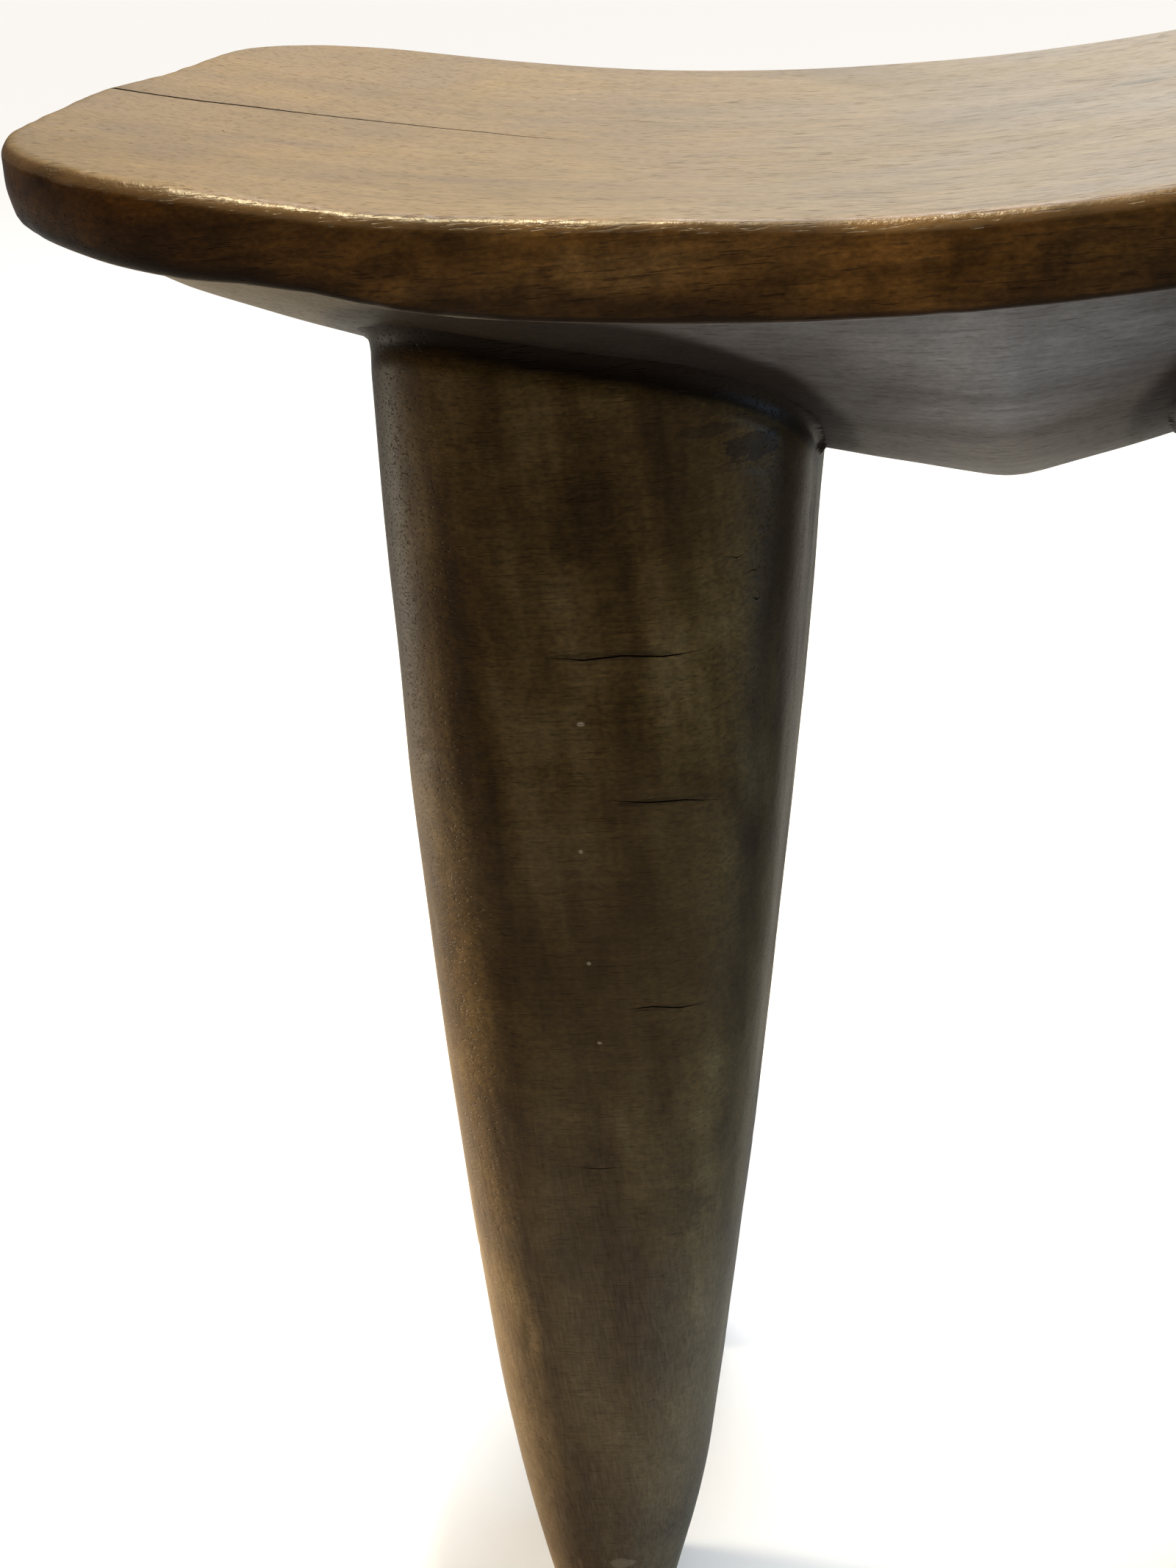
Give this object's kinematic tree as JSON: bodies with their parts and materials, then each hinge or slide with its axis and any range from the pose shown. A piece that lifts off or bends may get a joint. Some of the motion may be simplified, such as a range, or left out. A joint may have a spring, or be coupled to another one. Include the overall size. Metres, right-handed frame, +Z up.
{
  "type": "carved wooden headrest",
  "caption": "Carved wooden headrest or small stool: a dished plank with rounded corners on a keel-shaped belly, standing on splayed, bullet-shaped legs.",
  "frame": {"origin": "on the floor under the middle of the seat, the bottom centre of the bounding box", "axes": "+X along the seat, +Y from the front long side to the back long side, +Z up"},
  "size_m": [0.345, 0.206, 0.3385],
  "materials": {
    "wood": "dark handled patina, semi-matt, open pores"
  },
  "bodies": {
    "root": {"seat": "wood", "belly": "wood", "leg_front_left": "wood", "leg_front_right": "wood", "leg_back_left": "wood", "leg_back_right": "wood"}
  },
  "joints": []
}
